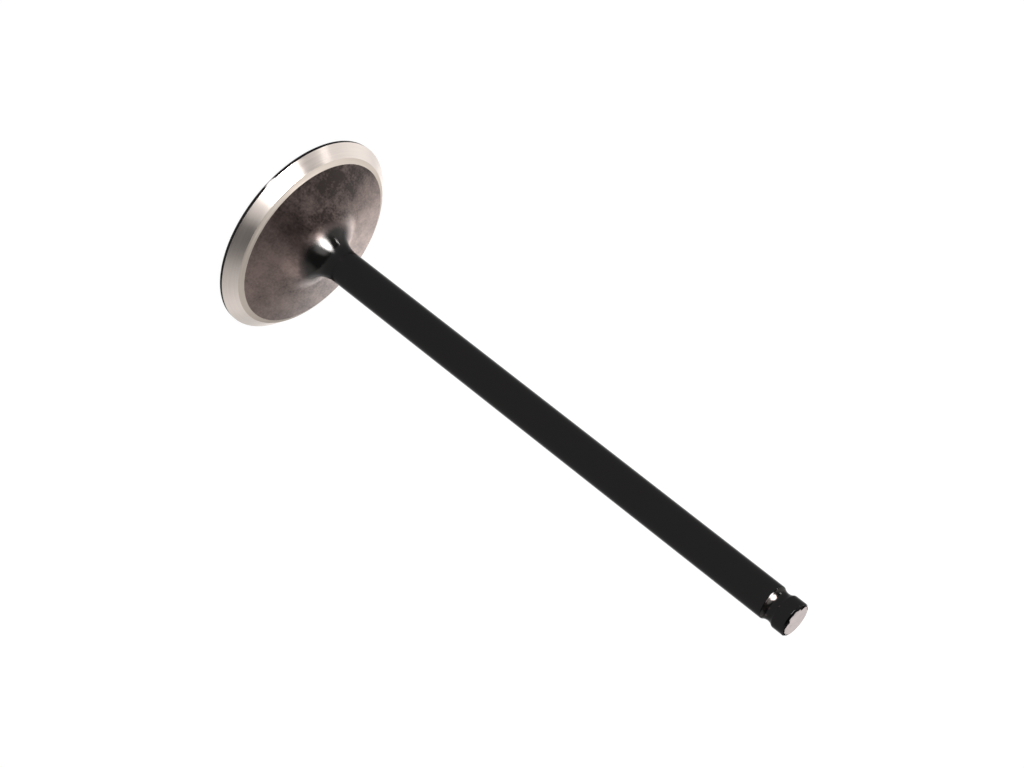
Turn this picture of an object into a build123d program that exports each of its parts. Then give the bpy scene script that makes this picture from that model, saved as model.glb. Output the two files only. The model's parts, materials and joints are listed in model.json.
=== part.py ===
"""Poppet valve for an engine: one forging, turned and ground to its working faces.

Millimetres. The valve stands on its head: the combustion face lies at z = 0, centred on the
origin, and the stem rises along +Z to the tip.
"""
from build123d import *
import os
from math import radians, tan

# Head, from the combustion face upwards. Angles are from the plane of the head, and widths are
# measured along the radius.
head_diameter = 33.5
face_edge_break = 0.15      # chamfer between the combustion face and the margin
margin_height = 0.6         # plain rim outside the seat
seat_angle = 45.0           # ground face that seals on the seat insert
seat_width = 1.75
back_cut_angle = 30.0       # flatter band that leads the gas onto the seat
back_cut_width = 0.8
underhead_angle = 9.0       # shallow cone under the head
neck_radius = 6.3           # large fillet from the underhead to the stem

# Stem
stem_diameter = 5.47        # runs in the valve guide
overall_length = 101.1

# Keeper groove and tip
groove_from_tip = 3.15      # middle of the groove to the tip face
groove_radius = 1.6         # its round bottom, for the keepers' beads
groove_depth = 0.37
groove_lip_radius = 0.5     # both lips are rolled over
tip_chamfer = 0.2

# Stations of the half section, worked out from the sizes above
head_r = head_diameter / 2
stem_r = stem_diameter / 2
seat_inner_r = head_r - seat_width
seat_top = margin_height + seat_width * tan(radians(seat_angle))
back_cut_inner_r = seat_inner_r - back_cut_width
back_cut_top = seat_top + back_cut_width * tan(radians(back_cut_angle))
neck_corner_z = back_cut_top + (back_cut_inner_r - stem_r) * tan(radians(underhead_angle))
groove_z = overall_length - groove_from_tip

with BuildPart() as valve:
    # Half section, from the axis out to the margin, up over the seat and along the stem
    with BuildSketch(Plane.XZ) as half_section:
        with BuildLine() as outline:
            Polyline(
                (0, 0),
                (head_r, 0),
                (head_r, margin_height),
                (seat_inner_r, seat_top),
                (back_cut_inner_r, back_cut_top),
                (stem_r, neck_corner_z),
                (stem_r, overall_length),
                (0, overall_length),
                close=True,
            )
        make_face()

        # Keeper groove: a round form plunged into the stem, then its two lips rolled over
        with Locations((stem_r + groove_radius - groove_depth, groove_z)):
            Circle(groove_radius, mode=Mode.SUBTRACT)
        corners = half_section.vertices()
        fillet(corners.sort_by_distance((stem_r, groove_z))[:2], radius=groove_lip_radius)

        # Neck, and the two ground ends
        corners = half_section.vertices()
        fillet(corners.sort_by_distance((stem_r, neck_corner_z))[0], radius=neck_radius)
        corners = half_section.vertices()
        chamfer(corners.sort_by_distance((stem_r, overall_length))[0], length=tip_chamfer)
        corners = half_section.vertices()
        chamfer(corners.sort_by_distance((head_r, 0))[0], length=face_edge_break)

    revolve(axis=Axis.Z)

valve.part.label = "valve"

os.makedirs("parts", exist_ok=True)
export_step(valve.part, "parts/valve.step")
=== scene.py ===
"""Looks of an engine poppet valve, laid out as a Blender add-on and run as a script.

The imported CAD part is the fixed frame: the valve stands on its head at the origin, its stem
along +Z. One operator sets up the studio and the camera, the other turns the valve from its
half section with Geometry Nodes and finishes each zone as the workshop would.
"""
import json
import math

import bmesh
import bpy
from bpy.props import FloatProperty, FloatVectorProperty, IntProperty, PointerProperty
from mathutils import Matrix, Vector


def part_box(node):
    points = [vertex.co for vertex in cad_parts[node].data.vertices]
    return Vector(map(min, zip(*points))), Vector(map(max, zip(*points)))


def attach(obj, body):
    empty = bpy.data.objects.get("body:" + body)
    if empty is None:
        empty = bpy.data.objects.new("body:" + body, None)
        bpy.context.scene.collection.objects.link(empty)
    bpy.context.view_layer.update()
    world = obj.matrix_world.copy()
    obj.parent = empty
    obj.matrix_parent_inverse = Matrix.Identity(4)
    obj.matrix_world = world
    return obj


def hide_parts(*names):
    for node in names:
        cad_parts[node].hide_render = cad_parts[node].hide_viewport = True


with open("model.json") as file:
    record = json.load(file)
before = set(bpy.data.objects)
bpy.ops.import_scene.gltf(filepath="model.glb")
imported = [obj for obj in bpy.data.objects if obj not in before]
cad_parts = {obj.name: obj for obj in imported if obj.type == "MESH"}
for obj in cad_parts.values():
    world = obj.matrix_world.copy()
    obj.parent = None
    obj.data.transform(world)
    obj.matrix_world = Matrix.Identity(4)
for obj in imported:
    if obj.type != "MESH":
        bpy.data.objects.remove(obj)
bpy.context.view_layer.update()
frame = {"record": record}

bl_info = {
    "name": "Engine Poppet Valve",
    "version": (1, 0, 0),
    "blender": (4, 5, 0),
    "location": "3D Viewport > Sidebar > Valve",
    "description": "Turns and finishes an engine poppet valve in a small studio",
    "category": "Add Mesh",
}

MM = 0.001
NODE = "valve"
BODY = "root"
FOOT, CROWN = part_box(NODE)
STEM_RADIUS = next(m for m in frame["record"]["mounts"] if m["name"] == "stem")["dims"]["r_mm"]
ALONG = "along_mm"  # how far a point lies along the turned profile, in millimetres


def linear(hex_colour):
    """Linear RGBA of an sRGB hex colour."""
    channels = [int(hex_colour[i:i + 2], 16) / 255 for i in (1, 3, 5)]
    return tuple(c / 12.92 if c <= 0.04045 else ((c + 0.055) / 1.055) ** 2.4
                 for c in channels) + (1.0,)


def add(tree, kind, inputs=None, **settings):
    """Adds one node with its settings; each input is a value or the socket that feeds it."""
    made = tree.nodes.new(kind)
    for name, value in settings.items():
        setattr(made, name, value)
    for key, value in (inputs or {}).items():
        if isinstance(value, bpy.types.NodeSocket):
            tree.links.new(value, made.inputs[key])
        else:
            made.inputs[key].default_value = value
    return made


# ---------------------------------------------------------------------------
# Sizes and colours a user would change
# ---------------------------------------------------------------------------

class ValveSizes(bpy.types.PropertyGroup):
    """Turned and ground sizes of the valve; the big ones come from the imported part."""
    head_diameter: FloatProperty(
        name="Head diameter", description="Across the margin",
        default=CROWN.x - FOOT.x, unit="LENGTH")
    overall_length: FloatProperty(
        name="Overall length", description="Combustion face to tip",
        default=CROWN.z - FOOT.z, unit="LENGTH")
    stem_diameter: FloatProperty(
        name="Stem diameter", description="Ground stem that runs in the guide",
        default=2 * STEM_RADIUS * MM, unit="LENGTH")
    face_edge_break: FloatProperty(
        name="Face edge break", description="Chamfer between combustion face and margin",
        default=0.15 * MM, unit="LENGTH")
    margin_height: FloatProperty(
        name="Margin", description="Plain rim outside the seat",
        default=0.6 * MM, unit="LENGTH")
    seat_angle: FloatProperty(
        name="Seat angle", description="Slope of the seat from the plane of the head",
        default=math.radians(45), subtype="ANGLE")
    seat_width: FloatProperty(
        name="Seat width", description="Ground seat, measured along the radius",
        default=1.75 * MM, unit="LENGTH")
    back_cut_angle: FloatProperty(
        name="Back-cut angle", description="Slope of the band inside the seat",
        default=math.radians(30), subtype="ANGLE")
    back_cut_width: FloatProperty(
        name="Back-cut width", description="Band inside the seat, measured along the radius",
        default=0.8 * MM, unit="LENGTH")
    underhead_angle: FloatProperty(
        name="Underhead angle", description="Slope of the shallow cone under the head",
        default=math.radians(9), subtype="ANGLE")
    neck_radius: FloatProperty(
        name="Neck radius", description="Fillet from the underhead to the stem",
        default=6.3 * MM, unit="LENGTH")
    groove_from_tip: FloatProperty(
        name="Groove from tip", description="Middle of the keeper groove to the tip face",
        default=3.15 * MM, unit="LENGTH")
    groove_radius: FloatProperty(
        name="Groove radius", description="Round bottom of the keeper groove",
        default=1.6 * MM, unit="LENGTH")
    groove_depth: FloatProperty(
        name="Groove depth", description="Keeper groove below the stem's surface",
        default=0.37 * MM, unit="LENGTH")
    groove_lip_radius: FloatProperty(
        name="Groove lips", description="Rounding of the groove's two lips",
        default=0.5 * MM, unit="LENGTH")
    tip_chamfer: FloatProperty(
        name="Tip chamfer", description="Chamfer round the tip face",
        default=0.2 * MM, unit="LENGTH")
    edge_softness: FloatProperty(
        name="Edge softness", description="Rounding left on edges by the wheel and the tumbler",
        default=0.03 * MM, unit="LENGTH")
    ring_spacing: FloatProperty(
        name="Ring spacing", description="Longest step between rings along a straight",
        default=2.0 * MM, unit="LENGTH")
    segments: IntProperty(
        name="Segments", description="Steps round the axis", default=192, min=16, max=512)


class ValveColours(bpy.types.PropertyGroup):
    """Colours of the valve's finishes."""
    stem_black: FloatVectorProperty(
        name="Stem black", description="Nitrided and polished stem",
        default=linear("#222121"), size=4, subtype="COLOR", min=0, max=1)
    neck_black: FloatVectorProperty(
        name="Neck black", description="Nitrided and buffed neck, a little paler than the stem",
        default=linear("#302F2E"), size=4, subtype="COLOR", min=0, max=1)
    burnish_brown: FloatVectorProperty(
        name="Burnish brown", description="Brown tinge where the polish runs out",
        default=linear("#49413F"), size=4, subtype="COLOR", min=0, max=1)
    underhead_dark: FloatVectorProperty(
        name="Underhead dark", description="Darker patches of the satin underhead",
        default=linear("#302927"), size=4, subtype="COLOR", min=0, max=1)
    underhead_light: FloatVectorProperty(
        name="Underhead light", description="Lighter patches of the satin underhead",
        default=linear("#7C6C67"), size=4, subtype="COLOR", min=0, max=1)
    seat_steel: FloatVectorProperty(
        name="Seat steel", description="Bright ground seat",
        default=linear("#CCC2BB"), size=4, subtype="COLOR", min=0, max=1)
    back_cut_steel: FloatVectorProperty(
        name="Back-cut steel", description="Bright turned band inside the seat",
        default=linear("#B0A69D"), size=4, subtype="COLOR", min=0, max=1)
    tip_steel: FloatVectorProperty(
        name="Tip steel", description="Ground tip face",
        default=linear("#968B89"), size=4, subtype="COLOR", min=0, max=1)
    # painted highlight: near-white steel put on the margin's edge where the softbox's glint spills
    # over it
    painted_glint_steel: FloatVectorProperty(
        name="Painted glint steel", description="Small bright mark on the margin",
        default=linear("#F0ECE8"), size=4, subtype="COLOR", min=0, max=1)
    face_grey: FloatVectorProperty(
        name="Face grey", description="Nitrided combustion face",
        default=linear("#5A5552"), size=4, subtype="COLOR", min=0, max=1)


class StudioSettings(bpy.types.PropertyGroup):
    """The small studio round the valve."""
    floor_colour: FloatVectorProperty(
        name="Floor", description="Pale sheet under the valve",
        default=linear("#F4F4F4"), size=4, subtype="COLOR", min=0, max=1)
    floor_size: FloatProperty(
        name="Floor size", description="Side of the square floor",
        default=8.0, unit="LENGTH")
    floor_glow: FloatProperty(
        name="Floor glow", description="Share of the floor's white that no shadow touches",
        default=0.9, min=0, max=1, subtype="FACTOR")
    key_radiance: FloatProperty(
        name="Key light", description="Brightness of the large softbox, white being 1",
        default=16.0, min=0)
    window_radiance: FloatProperty(
        name="Window", description="Brightness of the low side window, white being 1",
        default=35.0, min=0)
    room_brightness: FloatProperty(
        name="Room", description="Brightness of the room, its glows included",
        default=1.0, min=0)


# ---------------------------------------------------------------------------
# Studio
# ---------------------------------------------------------------------------

CAMERA_PLACE = Vector((-1.676, -330.364, 205.805)) * MM
CAMERA_AIM = Vector((-1.676, 0.0, 44.641)) * MM
CAMERA_ROLL = math.radians(127.946)
CAMERA_LENS = 87.69  # focal length in millimetres, for the sensor below
SENSOR_WIDTH = 36.0
NECK_HEIGHT = 8 * MM  # above the floor; the lamps are aimed at the neck
HOT_SPOT = 2.0  # what the softbox's hot middle adds, against the softbox itself
SHEET_WHITE = 1.06  # a little over white, to make up for the share that is shaded paper
SHADOW_FADE = (0.12, 0.4)  # metres from the valve between which its shadow runs out


def direction(azimuth, elevation):
    """Unit vector towards a light; azimuth 0 is the camera's side (-Y) and 90 is +X."""
    a, e = math.radians(azimuth), math.radians(elevation)
    return Vector((math.sin(a) * math.cos(e), -math.cos(a) * math.cos(e), math.sin(e)))


def look_along(heading, roll=0.0):
    """Rotation of a camera or lamp that faces along heading, rolled about its own axis."""
    facing = heading.to_track_quat("-Z", "Y").to_matrix().to_4x4()
    return facing @ Matrix.Rotation(roll, 4, "Z")


def softbox(name, azimuth, elevation, distance, width, height, radiance):
    """Elliptical area lamp aimed at the neck from distance in metres; width and height are in
    degrees of sky. Only the metal's gloss shows it."""
    data = bpy.data.lights.new(name, "AREA")
    data.shape = "ELLIPSE"
    data.size = 2 * distance * math.tan(math.radians(width / 2))
    data.size_y = 2 * distance * math.tan(math.radians(height / 2))
    # an area lamp's radiance is its power over pi and its area
    data.energy = radiance * math.pi * (math.pi / 4 * data.size * data.size_y)
    lamp = bpy.data.objects.new(name, data)
    away = direction(azimuth, elevation)
    neck = Vector((0, 0, NECK_HEIGHT))
    lamp.matrix_world = Matrix.Translation(neck + away * distance) @ look_along(-away)
    lamp.visible_camera = False
    lamp.visible_diffuse = False
    bpy.context.scene.collection.objects.link(lamp)


def floor_sheet(studio):
    """White paper sheet: white to the eye and in the metal, with the valve's soft shadow."""
    material = bpy.data.materials.new("matt_white_paper")
    material.use_nodes = True
    material.cycles.emission_sampling = "NONE"  # the sheet isn't sampled as a lamp
    tree = material.node_tree
    tree.nodes.clear()
    # sight, gloss and glass find white here, and soft light finds paper
    path = add(tree, "ShaderNodeLightPath")
    seen = add(tree, "ShaderNodeMath", {0: path.outputs["Is Camera Ray"],
                                        1: path.outputs["Is Glossy Ray"]}, operation="ADD")
    seen = add(tree, "ShaderNodeMath", {0: seen.outputs[0],
                                        1: path.outputs["Is Transmission Ray"]}, operation="ADD")
    # the shadow is kept near the valve, and the far sheet is plain white
    place = add(tree, "ShaderNodeTexCoord")
    reach = add(tree, "ShaderNodeVectorMath", {0: place.outputs["Object"]}, operation="LENGTH")
    far = add(tree, "ShaderNodeMapRange", {
        "Value": reach.outputs["Value"], "From Min": SHADOW_FADE[0], "From Max": SHADOW_FADE[1],
        "To Min": studio.floor_glow, "To Max": 1.0}, interpolation_type="SMOOTHSTEP")
    share = add(tree, "ShaderNodeMath", {0: seen.outputs[0], 1: far.outputs["Result"]},
                operation="MULTIPLY")
    paper = add(tree, "ShaderNodeBsdfDiffuse", {"Color": studio.floor_colour})
    glow = add(tree, "ShaderNodeEmission", {"Color": (1, 1, 1, 1), "Strength": SHEET_WHITE})
    mixed = add(tree, "ShaderNodeMixShader", {
        0: share.outputs[0], 1: paper.outputs[0], 2: glow.outputs[0]})
    add(tree, "ShaderNodeOutputMaterial", {"Surface": mixed.outputs[0]})
    return material


FRONT_LEVEL, BACK_LEVEL = 0.2, 0.7  # brightness of the walls before and behind the valve
CEILING_SHADE = 0.5  # how much of that reaches the ceiling

# soft glows on the room's walls: azimuth, elevation, inner and outer radius in degrees, brightness
ROOM_GLOWS = (
    (-177, 0, 10, 24, 4.0),     # pale backdrop behind the valve
    (0, 30, 5, 28, 2.6),        # spill of the softbox on the wall beside it
    (-124, 32, 28, 48, 1.0),    # lit wall, back left
    (122, 35, 20, 40, 0.7),     # lit wall, back right
)


def room(studio):
    """World: a room that is lighter behind the valve, with soft glows on its walls; plain white
    where the camera looks."""
    world = bpy.data.worlds.new("dim_room")
    bpy.context.scene.world = world
    world.use_nodes = True
    tree = world.node_tree
    tree.nodes.clear()
    facing = add(tree, "ShaderNodeTexCoord").outputs["Generated"]
    parts = add(tree, "ShaderNodeSeparateXYZ", {0: facing})
    walls = add(tree, "ShaderNodeMapRange", {
        "Value": parts.outputs["Y"], "From Min": 0.1, "From Max": 0.9, "To Min": FRONT_LEVEL,
        "To Max": BACK_LEVEL}, interpolation_type="SMOOTHSTEP")
    ceiling = add(tree, "ShaderNodeMapRange", {
        "Value": parts.outputs["Z"], "From Min": 0.3, "To Min": 1.0, "To Max": CEILING_SHADE},
        interpolation_type="SMOOTHSTEP")
    level = add(tree, "ShaderNodeMath", {0: walls.outputs["Result"], 1: ceiling.outputs["Result"]},
                operation="MULTIPLY").outputs[0]
    for azimuth, elevation, inner, outer, brightness in ROOM_GLOWS:
        toward = add(tree, "ShaderNodeVectorMath", {0: facing, 1: direction(azimuth, elevation)},
                     operation="DOT_PRODUCT")
        glow = add(tree, "ShaderNodeMapRange", {
            "Value": toward.outputs["Value"], "From Min": math.cos(math.radians(outer)),
            "From Max": math.cos(math.radians(inner)), "To Max": brightness},
            interpolation_type="SMOOTHSTEP")
        level = add(tree, "ShaderNodeMath", {0: level, 1: glow.outputs["Result"]}).outputs[0]
    level = add(tree, "ShaderNodeMath", {0: level, 1: studio.room_brightness},
                operation="MULTIPLY").outputs[0]
    lit_room = add(tree, "ShaderNodeBackground", {"Color": (1, 1, 1, 1), "Strength": level})
    backdrop = add(tree, "ShaderNodeBackground", {"Color": (1, 1, 1, 1), "Strength": 1.0})
    path = add(tree, "ShaderNodeLightPath")
    mixed = add(tree, "ShaderNodeMixShader", {
        0: path.outputs["Is Camera Ray"], 1: lit_room.outputs[0], 2: backdrop.outputs[0]})
    add(tree, "ShaderNodeOutputWorld", {"Surface": mixed.outputs[0]})


class AddStudio(bpy.types.Operator):
    """Add the camera, the white floor, the room and its lamps"""
    bl_idname = "valve.add_studio"
    bl_label = "Add studio"

    def execute(self, context):
        studio = context.scene.valve_studio
        data = bpy.data.cameras.new("camera")
        data.lens = CAMERA_LENS
        data.sensor_width = SENSOR_WIDTH
        data.clip_start, data.clip_end = 0.01, 50
        camera = bpy.data.objects.new("camera", data)
        camera.matrix_world = (Matrix.Translation(CAMERA_PLACE)
                               @ look_along(CAMERA_AIM - CAMERA_PLACE, CAMERA_ROLL))
        context.scene.collection.objects.link(camera)
        context.scene.camera = camera

        half = studio.floor_size / 2
        mesh = bpy.data.meshes.new("floor")
        mesh.from_pydata([(-half, -half, 0), (half, -half, 0), (half, half, 0), (-half, half, 0)],
                         [], [(0, 1, 2, 3)])
        mesh.materials.append(floor_sheet(studio))
        floor = bpy.data.objects.new("floor", mesh)
        context.scene.collection.objects.link(floor)

        room(studio)
        softbox("key_softbox", azimuth=-31, elevation=28, distance=1.2, width=39, height=58,
                radiance=studio.key_radiance)
        softbox("key_hot_spot", azimuth=-31, elevation=28, distance=1.15, width=30, height=44,
                radiance=HOT_SPOT * studio.key_radiance)
        softbox("side_window", azimuth=-86, elevation=1, distance=1.2, width=3.5, height=26,
                radiance=studio.window_radiance)
        context.scene.view_settings.view_transform = "Standard"
        return {"FINISHED"}


# ---------------------------------------------------------------------------
# Finishes
# ---------------------------------------------------------------------------

def finish(name):
    """Empty material, its tree, and object coordinates in millimetres."""
    material = bpy.data.materials.new(name)
    material.use_nodes = True
    tree = material.node_tree
    tree.nodes.clear()
    place = add(tree, "ShaderNodeTexCoord")
    scaled = add(tree, "ShaderNodeVectorMath", {0: place.outputs["Object"], 3: 1 / MM},
                 operation="SCALE")
    return material, tree, scaled.outputs[0]


def spokes(tree, place):
    """Distance from the axis, and the unit vector away from it."""
    parts = add(tree, "ShaderNodeSeparateXYZ", {0: place})
    flat = add(tree, "ShaderNodeCombineXYZ", {"X": parts.outputs["X"], "Y": parts.outputs["Y"]})
    out = add(tree, "ShaderNodeVectorMath", {0: flat.outputs[0]}, operation="LENGTH")
    spoke = add(tree, "ShaderNodeVectorMath", {0: flat.outputs[0]}, operation="NORMALIZE")
    return out.outputs["Value"], spoke.outputs[0]


def lay(tree, place, per_mm, round_scale):
    """Noise drawn out round the axis, like the lay of a wheel or a tool: per_mm lines a
    millimetre along the turned profile, which change slowly round it, by round_scale."""
    along = add(tree, "ShaderNodeAttribute", attribute_name=ALONG).outputs["Fac"]
    spoke = add(tree, "ShaderNodeVectorMath", {0: spokes(tree, place)[1], 3: round_scale},
                operation="SCALE")
    across = add(tree, "ShaderNodeMath", {0: along, 1: per_mm}, operation="MULTIPLY")
    lift = add(tree, "ShaderNodeCombineXYZ", {"Z": across.outputs[0]})
    spot = add(tree, "ShaderNodeVectorMath", {0: spoke.outputs[0], 1: lift.outputs[0]},
               operation="ADD")
    return add(tree, "ShaderNodeTexNoise", {"Vector": spot.outputs[0], "Scale": 1.0,
                                            "Detail": 3.0, "Roughness": 0.6}).outputs["Fac"]


# tint of each skin's gloss near a grazing angle, where bare steel would keep it white
EDGE_TINT = (0.6, 0.6, 0.6, 1.0)  # a polished nitrided skin stays dark nearly to its edge
SATIN_TINT = (0.85, 0.84, 0.83, 1.0)  # a satin one keeps a little of its brown there
SCALE_TINT = (0.3, 0.3, 0.3, 1.0)  # hardening scale is matt and stays black at any angle


def nitrided_polished(colours):
    """Salt-bath nitrided steel, ground and polished: deep black, a mirror for the floor, with the
    faint lay of the centreless grinding round the stem."""
    material, tree, place = finish("nitrided_steel_ground_and_polished")
    # real lay is about 30 lines a millimetre; it is drawn at 6, so that it shows at all
    lines = lay(tree, place, per_mm=6.0, round_scale=2.5)
    rough = add(tree, "ShaderNodeMapRange", {"Value": lines, "From Min": 0.35, "From Max": 0.65,
                                             "To Min": 0.07, "To Max": 0.12})
    bump = add(tree, "ShaderNodeBump", {"Height": lines, "Strength": 0.05, "Distance": 0.01 * MM})
    steel = add(tree, "ShaderNodeBsdfPrincipled", {
        "Base Color": colours.stem_black, "Metallic": 1.0,
        "Roughness": rough.outputs["Result"], "Specular Tint": EDGE_TINT,
        "Normal": bump.outputs[0]})
    add(tree, "ShaderNodeOutputMaterial", {"Surface": steel.outputs[0]})
    return material


def nitrided_underhead(colours):
    """Forged underhead, nitrided and tumbled: brown-grey satin with soft mottling, and painted light
    and shade in its quarters. In the neck the buffing wheel left the polished black of the stem,
    which ends in a ragged brown burnish."""
    material, tree, place = finish("nitrided_steel_forged_underhead")
    out, spoke = spokes(tree, place)
    # mottling of the salt bath, drawn out a little along Y: clouds about 3 mm across, grain from
    # about 0.7 mm down, and the tumbling's fine speckle from about 0.3 mm down
    drawn = add(tree, "ShaderNodeMapping", {"Vector": place, "Scale": (1.0, 0.6, 1.0)}).outputs[0]
    clouds = add(tree, "ShaderNodeTexNoise", {"Vector": drawn, "Scale": 0.33, "Detail": 4.0,
                                              "Roughness": 0.6}).outputs["Fac"]
    grain = add(tree, "ShaderNodeTexNoise", {"Vector": drawn, "Scale": 1.4, "Detail": 5.0,
                                             "Roughness": 0.7}).outputs["Fac"]
    speckle = add(tree, "ShaderNodeTexNoise", {"Vector": drawn, "Scale": 3.0, "Detail": 2.0,
                                               "Roughness": 0.6}).outputs["Fac"]
    mottle_and_painted_light = -0.88
    for noise, weight in ((clouds, 1.5), (grain, 0.4), (speckle, 0.8)):
        mottle_and_painted_light = add(tree, "ShaderNodeMath", {0: noise, 1: weight, 2: mottle_and_painted_light},
                     operation="MULTIPLY_ADD").outputs[0]
    # two opposite quarters and the +X side are made lighter: partly the bath's own patches, partly
    # painted light and shade from the room's reflections
    parts = add(tree, "ShaderNodeSeparateXYZ", {0: spoke})
    quarter = add(tree, "ShaderNodeMath", {0: parts.outputs["Y"], 1: -0.5, 2: 0.17},
                  operation="MULTIPLY_ADD")
    mottle_and_painted_light = add(tree, "ShaderNodeMath", {0: quarter.outputs[0], 1: parts.outputs["X"],
                                          2: mottle_and_painted_light}, operation="MULTIPLY_ADD")
    satin = add(tree, "ShaderNodeMix", {"Factor": mottle_and_painted_light.outputs[0], 6: colours.underhead_dark,
                                        7: colours.underhead_light}, data_type="RGBA")
    # outwards from the stem: black, paler black, brown burnish and satin, at distances from the
    # axis in millimetres that the mottling makes ragged
    ragged = -0.85
    for noise, weight in ((clouds, 1.2), (grain, 0.5)):
        ragged = add(tree, "ShaderNodeMath", {0: noise, 1: weight, 2: ragged},
                     operation="MULTIPLY_ADD").outputs[0]
    edge = add(tree, "ShaderNodeMath", {0: out, 1: ragged}).outputs[0]
    neck = add(tree, "ShaderNodeMapRange", {"Value": out, "From Min": 2.8, "From Max": 3.3},
               interpolation_type="SMOOTHSTEP").outputs["Result"]
    burnished = add(tree, "ShaderNodeMapRange", {"Value": edge, "From Min": 4.1, "From Max": 4.8},
                    interpolation_type="SMOOTHSTEP").outputs["Result"]
    unpolished = add(tree, "ShaderNodeMapRange", {"Value": edge, "From Min": 4.6, "From Max": 5.6},
                     interpolation_type="SMOOTHSTEP").outputs["Result"]
    colour = colours.stem_black
    for share, next_colour in ((neck, colours.neck_black), (burnished, colours.burnish_brown),
                               (unpolished, satin.outputs[2])):
        colour = add(tree, "ShaderNodeMix", {"Factor": share, 6: colour, 7: next_colour},
                     data_type="RGBA").outputs[2]
    tint = add(tree, "ShaderNodeMix", {"Factor": unpolished, 6: EDGE_TINT, 7: SATIN_TINT},
               data_type="RGBA")
    # outwards from the stem, the polish runs out sooner than the black does
    rough = add(tree, "ShaderNodeMapRange", {"Value": edge, "From Min": 3.5, "From Max": 4.8,
                                             "To Min": 0.12, "To Max": 0.28})
    rough = add(tree, "ShaderNodeMath", {0: grain, 1: 0.05, 2: rough.outputs["Result"]},
                operation="MULTIPLY_ADD")
    bump = add(tree, "ShaderNodeBump", {"Height": grain, "Strength": 0.8, "Distance": 0.012 * MM})
    steel = add(tree, "ShaderNodeBsdfPrincipled", {
        "Base Color": colour, "Metallic": 1.0, "Roughness": rough.outputs[0],
        "Specular Tint": tint.outputs[2], "Normal": bump.outputs[0]})
    add(tree, "ShaderNodeOutputMaterial", {"Surface": steel.outputs[0]})
    return material


def ground_band(name, colour, roughness, stretch, per_mm, depth, edge_tint=1.0):
    """Steel turned or ground round the axis: a fine lay round it and, where gloss is stretched,
    bands of light across it. per_mm lines are drawn a millimetre, depth deep."""
    material, tree, place = finish(name)
    # a tool leaves about 10 lines a millimetre and a wheel 30; they are drawn at 4 to 7, so that
    # they show
    lines = lay(tree, place, per_mm, round_scale=2.0)
    tone = add(tree, "ShaderNodeMapRange", {"Value": lines, "From Min": 0.3, "From Max": 0.7,
                                            "To Min": 0.93, "To Max": 1.05})
    steel_colour = add(tree, "ShaderNodeVectorMath", {0: colour[:3], 3: tone.outputs["Result"]},
                       operation="SCALE")
    rough = add(tree, "ShaderNodeMapRange", {"Value": lines, "From Min": 0.3, "From Max": 0.7,
                                             "To Min": roughness * 0.85, "To Max": roughness * 1.15})
    bump = add(tree, "ShaderNodeBump", {"Height": lines, "Strength": 0.5, "Distance": depth})
    # the lay runs round the axis, so gloss is stretched a quarter turn from it
    round_axis = add(tree, "ShaderNodeTangent", direction_type="RADIAL", axis="Z")
    steel = add(tree, "ShaderNodeBsdfPrincipled", {
        "Base Color": steel_colour.outputs[0], "Metallic": 1.0,
        "Roughness": rough.outputs["Result"], "Anisotropic": stretch, "Anisotropic Rotation": 0.25,
        "Specular Tint": (edge_tint, edge_tint, edge_tint, 1),
        "Normal": bump.outputs[0], "Tangent": round_axis.outputs[0]})
    add(tree, "ShaderNodeOutputMaterial", {"Surface": steel.outputs[0]})
    return material


# painted highlight: the spot where the softbox's glint spills over the margin's edge, painted as
# bright steel
PAINTED_GLINT_MARK = Vector((-3.2, -16.44, 0.65))  # in millimetres, on the margin's edge to the seat
PAINTED_GLINT_STRETCH = (1.0, 1.0, 2.4)  # the mark is less than half as high as it is long


def margin_with_painted_glint(colours):
    """Margin, nitrided and polished like the stem. In one place its edge to the seat is painted
    bright steel: a painted highlight where the softbox's glint spills over the margin."""
    material, tree, place = finish("nitrided_steel_polished_margin")
    # painted highlight in bright steel to 0.7 mm from the mark's middle, and the whole black skin
    # from 1.5 mm
    off = add(tree, "ShaderNodeVectorMath", {0: place, 1: PAINTED_GLINT_MARK}, operation="SUBTRACT")
    off = add(tree, "ShaderNodeVectorMath", {0: off.outputs[0], 1: PAINTED_GLINT_STRETCH},
              operation="MULTIPLY")
    off = add(tree, "ShaderNodeVectorMath", {0: off.outputs[0]}, operation="LENGTH")
    skin = add(tree, "ShaderNodeMapRange", {
        "Value": off.outputs["Value"], "From Min": 0.7, "From Max": 1.5},
        interpolation_type="SMOOTHSTEP").outputs["Result"]
    colour = add(tree, "ShaderNodeMix", {"Factor": skin, 6: colours.painted_glint_steel,
                                         7: colours.stem_black}, data_type="RGBA")
    rough = add(tree, "ShaderNodeMapRange", {"Value": skin, "To Min": 0.3, "To Max": 0.1})
    steel = add(tree, "ShaderNodeBsdfPrincipled", {
        "Base Color": colour.outputs[2], "Metallic": 1.0, "Roughness": rough.outputs["Result"],
        "Specular Tint": EDGE_TINT})
    add(tree, "ShaderNodeOutputMaterial", {"Surface": steel.outputs[0]})
    return material


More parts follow.
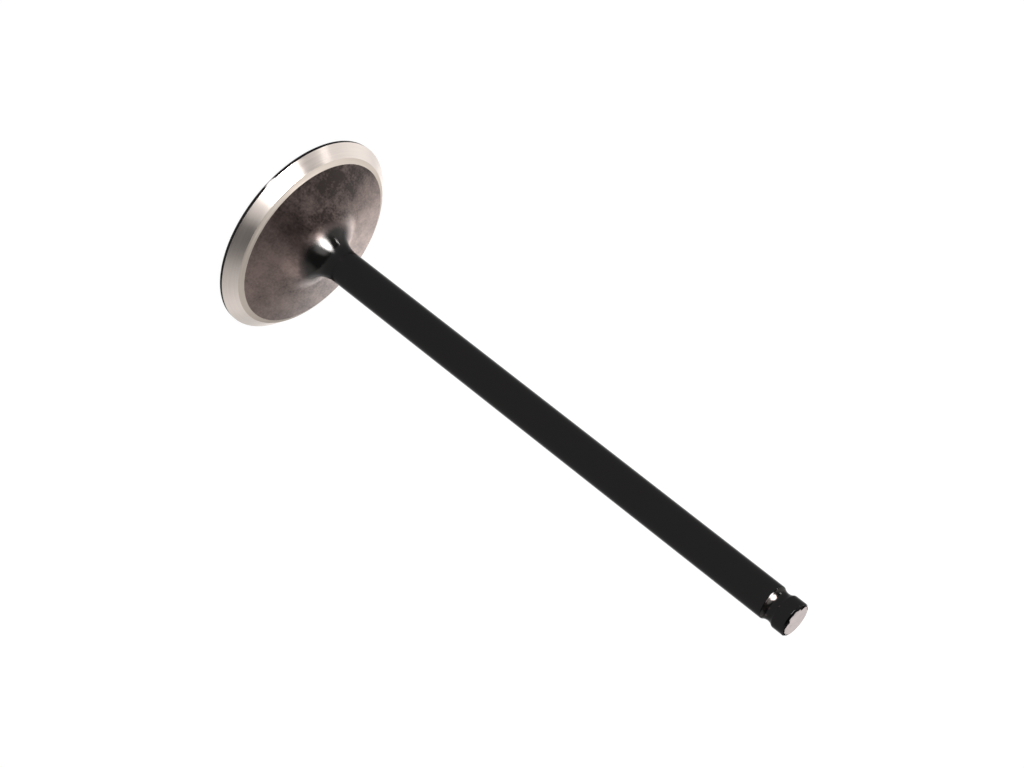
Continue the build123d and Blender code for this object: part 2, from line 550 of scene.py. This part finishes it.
def turned_groove(colours, middle):
    """Keeper groove, form-turned and nitrided: black, with brown smears and a paler buffed rim
    on the lip towards the head. middle is the groove's height in millimetres."""
    material, tree, place = finish("nitrided_steel_turned_groove")
    smears = add(tree, "ShaderNodeTexNoise", {"Vector": place, "Scale": 0.9, "Detail": 3.0,
                                              "Roughness": 0.6}).outputs["Fac"]
    height = add(tree, "ShaderNodeSeparateXYZ", {0: place}).outputs["Z"]
    # the black takes over about 0.6 to 0.1 mm below the middle, where the smears leave off
    near_lip = add(tree, "ShaderNodeMath", {0: smears, 1: -1.2, 2: height},
                   operation="MULTIPLY_ADD")
    black = add(tree, "ShaderNodeMapRange", {
        "Value": near_lip.outputs[0], "From Min": middle - 1.2, "From Max": middle - 0.7},
        interpolation_type="SMOOTHSTEP").outputs["Result"]
    brown = add(tree, "ShaderNodeMapRange", {"Value": smears, "From Min": 0.5, "From Max": 0.65})
    lip = add(tree, "ShaderNodeMix", {"Factor": brown.outputs["Result"], 6: colours.neck_black,
                                      7: colours.burnish_brown}, data_type="RGBA")
    colour = add(tree, "ShaderNodeMix", {"Factor": black, 6: lip.outputs[2],
                                         7: colours.stem_black}, data_type="RGBA")
    # a form tool leaves about 20 lines a millimetre; they are drawn at 6, so that they show
    lines = lay(tree, place, per_mm=6.0, round_scale=2.0)
    bump = add(tree, "ShaderNodeBump", {"Height": lines, "Strength": 0.5, "Distance": 0.001 * MM})
    steel = add(tree, "ShaderNodeBsdfPrincipled", {
        "Base Color": colour.outputs[2], "Metallic": 1.0, "Roughness": 0.15,
        "Specular Tint": EDGE_TINT, "Normal": bump.outputs[0]})
    add(tree, "ShaderNodeOutputMaterial", {"Surface": steel.outputs[0]})
    return material


def ground_tip(colours):
    """Tip ground flat after nitriding: nearly even bright steel, with black skin left round its
    rim where the wheel didn't reach, widest towards -Y."""
    material, tree, place = finish("bright_steel_ground_tip")
    out, spoke = spokes(tree, place)
    stains = add(tree, "ShaderNodeTexNoise", {"Vector": place, "Scale": 0.7, "Detail": 4.0,
                                              "Roughness": 0.6}).outputs["Fac"]
    far = add(tree, "ShaderNodeSeparateXYZ", {0: spoke}).outputs["Y"]
    edge = add(tree, "ShaderNodeMath", {0: far, 1: -0.45, 2: out}, operation="MULTIPLY_ADD")
    edge = add(tree, "ShaderNodeMath", {0: stains, 1: 2.4, 2: edge.outputs[0]},
               operation="MULTIPLY_ADD")
    skin = add(tree, "ShaderNodeMapRange", {
        "Value": edge.outputs[0], "From Min": 3.45, "From Max": 3.55}).outputs["Result"]
    tone = add(tree, "ShaderNodeMapRange", {"Value": stains, "From Min": 0.3, "From Max": 0.7,
                                            "To Min": 0.86, "To Max": 1.1})
    bright = add(tree, "ShaderNodeVectorMath", {0: colours.tip_steel[:3], 3: tone.outputs["Result"]},
                 operation="SCALE")
    colour = add(tree, "ShaderNodeMix", {"Factor": skin, 6: bright.outputs[0],
                                         7: colours.stem_black}, data_type="RGBA")
    tint = add(tree, "ShaderNodeMix", {"Factor": skin, 6: EDGE_TINT, 7: SCALE_TINT},
               data_type="RGBA")
    steel = add(tree, "ShaderNodeBsdfPrincipled", {
        "Base Color": colour.outputs[2], "Metallic": 1.0, "Roughness": 0.3,
        "Specular Tint": tint.outputs[2]})
    add(tree, "ShaderNodeOutputMaterial", {"Surface": steel.outputs[0]})
    return material


def finishes(colours, groove_middle):
    """The finish of each zone, by name."""
    return {
        "Stem": nitrided_polished(colours),
        "Underhead": nitrided_underhead(colours),
        # turned after nitriding: an even pale satin, duller than the seat beside it
        "Back-cut": ground_band("bright_steel_turned_back_cut", colours.back_cut_steel,
                                roughness=0.43, stretch=0.0, per_mm=5.0, depth=0.004 * MM,
                                edge_tint=0.4),
        # ground last: bright, with each light drawn out into a band across the seat
        "Seat": ground_band("bright_steel_ground_seat", colours.seat_steel,
                            roughness=0.34, stretch=0.92, per_mm=7.0, depth=0.003 * MM),
        "Margin": margin_with_painted_glint(colours),
        # turned and nitrided: dull grey, with the tool's rings just showing
        "Face": ground_band("nitrided_steel_turned_face", colours.face_grey,
                            roughness=0.45, stretch=0.6, per_mm=4.0, depth=0.006 * MM),
        "Groove": turned_groove(colours, groove_middle / MM),
        "Tip": ground_tip(colours),
    }


# ---------------------------------------------------------------------------
# Valve
# ---------------------------------------------------------------------------

# flat steps in each rounding of the half section
EDGE_STEPS, NECK_STEPS, LIP_STEPS, BOTTOM_STEPS = 3, 64, 12, 28


def half_section(sizes):
    """Corners of the half section from the centre of the combustion face round to the centre of
    the tip: (radius, height, rounding, steps of the rounding). Then the heights between zones."""
    head = sizes.head_diameter / 2
    stem = sizes.stem_diameter / 2
    top = sizes.overall_length
    soft = sizes.edge_softness
    seat_in = head - sizes.seat_width
    seat_top = sizes.margin_height + sizes.seat_width * math.tan(sizes.seat_angle)
    cut_in = seat_in - sizes.back_cut_width
    cut_top = seat_top + sizes.back_cut_width * math.tan(sizes.back_cut_angle)
    neck = cut_top + (cut_in - stem) * math.tan(sizes.underhead_angle)
    # the groove's round bottom and rounded lips, as three rounded corners
    groove = top - sizes.groove_from_tip
    swing = math.acos(1 - sizes.groove_depth / (sizes.groove_radius + sizes.groove_lip_radius))
    lip = ((sizes.groove_radius + sizes.groove_lip_radius) * math.sin(swing)
           - sizes.groove_lip_radius * math.tan(swing / 2))
    bottom = stem - sizes.groove_depth - sizes.groove_radius * (1 / math.cos(swing) - 1)
    corners = [
        (0, 0, 0, 0),
        (head - sizes.face_edge_break, 0, soft, EDGE_STEPS),
        (head, sizes.face_edge_break, soft, EDGE_STEPS),
        (head, sizes.margin_height, soft, EDGE_STEPS),
        (seat_in, seat_top, soft, EDGE_STEPS),
        (cut_in, cut_top, soft, EDGE_STEPS),
        (stem, neck, sizes.neck_radius, NECK_STEPS),
        (stem, groove - lip, sizes.groove_lip_radius, LIP_STEPS),
        (bottom, groove, sizes.groove_radius, BOTTOM_STEPS),
        (stem, groove + lip, sizes.groove_lip_radius, LIP_STEPS),
        (stem, top - sizes.tip_chamfer, soft, EDGE_STEPS),
        (stem - sizes.tip_chamfer, top, soft, EDGE_STEPS),
        (0, top, 0, 0),
    ]
    # the finishes of face and tip end just past their edges, so the chamfers keep the sides' own
    heights = {"Face top": sizes.face_edge_break / 4, "Margin top": sizes.margin_height,
               "Seat top": seat_top, "Back-cut top": cut_top,
               "Neck top": neck + sizes.neck_radius
               * math.tan(math.radians(45) - sizes.underhead_angle / 2),
               "Groove foot": groove - lip, "Groove top": groove + lip,
               "Tip foot": top - sizes.tip_chamfer / 4}
    return corners, heights


def outline_wire(corners, spacing):
    """Wire mesh of the corners, with each one's rounding stored on it, and plain points along
    each straight. The first and last of them lie close to its roundings, so that the smooth
    shading of an edge doesn't spread over the flat beside it."""
    points = [corners[0]]
    for (r0, z0, round0, _), corner in zip(corners, corners[1:]):
        r1, z1, round1, _ = corner
        span = math.hypot(r1 - r0, z1 - z0)
        # the roundings take their part of the straight; none turns more than 90 degrees
        straight = span - round0 - round1
        count = max(math.ceil(straight / spacing), 1)
        for i in range(count + 1):
            t = (round0 + straight * i / count) / span
            if straight > 0 and 0 < t < 1:
                points.append((r0 + (r1 - r0) * t, z0 + (z1 - z0) * t, 0, 0))
        points.append(corner)
    mesh = bpy.data.meshes.new("half_section")
    mesh.from_pydata([(r, 0, z) for r, z, _, _ in points],
                     [(i, i + 1) for i in range(len(points) - 1)], [])
    rounding = mesh.attributes.new("rounding", "FLOAT", "POINT")
    steps = mesh.attributes.new("rounding_steps", "INT", "POINT")
    for i, (_, _, radius, count) in enumerate(points):
        rounding.data[i].value = radius
        steps.data[i].value = max(count, 1)
    return mesh


MERGE_DISTANCE = 0.0005 * MM  # closes the seam and the poles; the shortest edge is 5 times it
CRISP_ANGLE = math.radians(25)  # bends sharper than this are shaded as edges

# zone by zone from the whole blank down, as (finish, height input, which side of it)
ZONES = (("Stem", None, None), ("Underhead", "Neck top", "LESS_THAN"),
         ("Back-cut", "Back-cut top", "LESS_THAN"), ("Seat", "Seat top", "LESS_THAN"),
         ("Margin", "Margin top", "LESS_THAN"), ("Face", "Face top", "LESS_THAN"),
         ("Groove", "Groove foot", "GREATER_THAN"), ("Stem", "Groove top", "GREATER_THAN"),
         ("Tip", "Tip foot", "GREATER_THAN"))


def turning_tree(heights, materials):
    """Geometry Nodes: rounds the corners of the half section, turns it about Z and gives each
    zone its finish by height."""
    tree = bpy.data.node_groups.new("turned_valve", "GeometryNodeTree")
    face = tree.interface
    face.new_socket(name="Half section", in_out="INPUT", socket_type="NodeSocketGeometry")
    face.new_socket(name="Segments", in_out="INPUT", socket_type="NodeSocketInt")
    for name in heights:
        face.new_socket(name=name, in_out="INPUT", socket_type="NodeSocketFloat")
    for name in materials:
        face.new_socket(name=name, in_out="INPUT", socket_type="NodeSocketMaterial")
    face.new_socket(name="Valve", in_out="OUTPUT", socket_type="NodeSocketGeometry")
    given = add(tree, "NodeGroupInput").outputs

    # the outline with its roundings
    rounding = add(tree, "GeometryNodeInputNamedAttribute", {"Name": "rounding"},
                   data_type="FLOAT").outputs["Attribute"]
    steps = add(tree, "GeometryNodeInputNamedAttribute", {"Name": "rounding_steps"},
                data_type="INT").outputs["Attribute"]
    wire = add(tree, "GeometryNodeMeshToCurve", {"Mesh": given["Half section"]})
    outline = add(tree, "GeometryNodeFilletCurve", {
        "Curve": wire.outputs[0], "Radius": rounding, "Count": steps}, mode="POLY").outputs[0]
    points = add(tree, "GeometryNodeAttributeDomainSize", {"Geometry": outline},
                 component="CURVE").outputs["Point Count"]

    # a grid of outline points by steps round the axis, then each vertex put in its place
    around = add(tree, "FunctionNodeIntegerMath", {0: given["Segments"], 1: 1}, operation="ADD")
    grid = add(tree, "GeometryNodeMeshGrid", {"Vertices X": points, "Vertices Y": around.outputs[0]})
    index = add(tree, "GeometryNodeInputIndex").outputs[0]
    ring = add(tree, "FunctionNodeIntegerMath", {0: index, 1: around.outputs[0]},
               operation="DIVIDE_FLOOR")
    step = add(tree, "FunctionNodeIntegerMath", {0: index, 1: around.outputs[0]},
               operation="MODULO")
    spot = add(tree, "GeometryNodeSampleIndex", {
        "Geometry": outline, "Value": add(tree, "GeometryNodeInputPosition").outputs[0],
        "Index": ring.outputs[0]}, data_type="FLOAT_VECTOR", domain="POINT")
    travelled = add(tree, "GeometryNodeSampleIndex", {
        "Geometry": outline, "Value": add(tree, "GeometryNodeSplineParameter").outputs["Length"],
        "Index": ring.outputs[0]}, data_type="FLOAT", domain="POINT")
    share = add(tree, "ShaderNodeMath", {0: step.outputs[0], 1: given["Segments"]},
                operation="DIVIDE")
    angle = add(tree, "ShaderNodeMath", {0: share.outputs[0], 1: math.tau}, operation="MULTIPLY")
    turned = add(tree, "ShaderNodeVectorRotate", {
        "Vector": spot.outputs[0], "Angle": angle.outputs[0]}, rotation_type="Z_AXIS")
    solid = add(tree, "GeometryNodeSetPosition", {
        "Geometry": grid.outputs["Mesh"], "Position": turned.outputs[0]})
    along = add(tree, "ShaderNodeMath", {0: travelled.outputs[0], 1: 1 / MM},
                operation="MULTIPLY")
    solid = add(tree, "GeometryNodeStoreNamedAttribute", {
        "Geometry": solid.outputs[0], "Name": ALONG, "Value": along.outputs[0]},
        data_type="FLOAT", domain="POINT")

    # close the seam and the two poles, smooth the skin and keep the turned edges crisp
    solid = add(tree, "GeometryNodeMergeByDistance", {
        "Geometry": solid.outputs[0], "Distance": MERGE_DISTANCE})
    solid = add(tree, "GeometryNodeSetShadeSmooth", {"Geometry": solid.outputs[0]},
                domain="FACE")
    bend = add(tree, "GeometryNodeInputMeshEdgeAngle").outputs["Unsigned Angle"]
    crisp = add(tree, "FunctionNodeCompare", {"A": bend, "B": CRISP_ANGLE},
                data_type="FLOAT", operation="GREATER_THAN")
    solid = add(tree, "GeometryNodeSetShadeSmooth", {
        "Geometry": solid.outputs[0], "Selection": crisp.outputs[0], "Shade Smooth": False},
        domain="EDGE")
    made = add(tree, "GeometryNodeRealizeInstances", {"Geometry": solid.outputs[0]}).outputs[0]

    height = add(tree, "ShaderNodeSeparateXYZ", {
        0: add(tree, "GeometryNodeInputPosition").outputs[0]}).outputs["Z"]
    for name, limit, side in ZONES:
        inputs = {"Geometry": made, "Material": given[name]}
        if limit:
            inputs["Selection"] = add(tree, "FunctionNodeCompare", {
                "A": height, "B": given[limit]}, data_type="FLOAT", operation=side).outputs[0]
        made = add(tree, "GeometryNodeSetMaterial", inputs).outputs[0]
    add(tree, "NodeGroupOutput", {"Valve": made})
    return tree


class AddValve(bpy.types.Operator):
    """Turn the valve from its half section and finish it"""
    bl_idname = "valve.add_valve"
    bl_label = "Add valve"

    def execute(self, context):
        sizes = context.scene.valve_sizes
        corners, heights = half_section(sizes)
        groove_middle = sizes.overall_length - sizes.groove_from_tip
        materials = finishes(context.scene.valve_colours, groove_middle)
        blank = bpy.data.objects.new("poppet_valve", outline_wire(corners, sizes.ring_spacing))
        context.scene.collection.objects.link(blank)
        turning = blank.modifiers.new("turning", "NODES")
        turning.node_group = turning_tree(heights, materials)
        values = {"Segments": sizes.segments, **heights, **materials}
        for socket in turning.node_group.interface.items_tree:
            if socket.in_out == "INPUT" and socket.name in values:
                turning[socket.identifier] = values[socket.name]
        turned = blank.evaluated_get(context.evaluated_depsgraph_get())
        solid = bpy.data.meshes.new_from_object(turned)
        blank.modifiers.remove(turning)
        blank.data = solid
        solid.name = "poppet_valve"
        solid.materials.pop(index=0)  # the grid's own slot, which no face uses

        skin = bmesh.new()
        skin.from_mesh(solid)
        bmesh.ops.recalc_face_normals(skin, faces=skin.faces)
        open_edges = sum(not edge.is_manifold for edge in skin.edges)
        skin.to_mesh(solid)
        skin.free()
        if open_edges:
            raise RuntimeError(f"the turned valve has {open_edges} open edges")

        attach(blank, BODY)
        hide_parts(NODE)
        return {"FINISHED"}


# ---------------------------------------------------------------------------
# Panel and start
# ---------------------------------------------------------------------------

class VALVE_PT_panel(bpy.types.Panel):
    """Sizes, colours and studio of the valve"""
    bl_label = "Engine valve"
    bl_space_type = "VIEW_3D"
    bl_region_type = "UI"
    bl_category = "Valve"

    def draw(self, context):
        for title, group, operator in (
                ("Studio", context.scene.valve_studio, AddStudio),
                ("Sizes", context.scene.valve_sizes, None),
                ("Colours", context.scene.valve_colours, AddValve)):
            box = self.layout.box()
            box.label(text=title)
            for name in group.__annotations__:
                box.prop(group, name)
            if operator:
                box.operator(operator.bl_idname)


CLASSES = (ValveSizes, ValveColours, StudioSettings, AddStudio, AddValve, VALVE_PT_panel)


def register():
    for cls in CLASSES:
        bpy.utils.register_class(cls)
    bpy.types.Scene.valve_sizes = PointerProperty(type=ValveSizes)
    bpy.types.Scene.valve_colours = PointerProperty(type=ValveColours)
    bpy.types.Scene.valve_studio = PointerProperty(type=StudioSettings)


def unregister():
    del bpy.types.Scene.valve_studio
    del bpy.types.Scene.valve_colours
    del bpy.types.Scene.valve_sizes
    for cls in reversed(CLASSES):
        bpy.utils.unregister_class(cls)


def main():
    register()
    bpy.ops.valve.add_studio()
    bpy.ops.valve.add_valve()


if __name__ == "__main__":
    main()
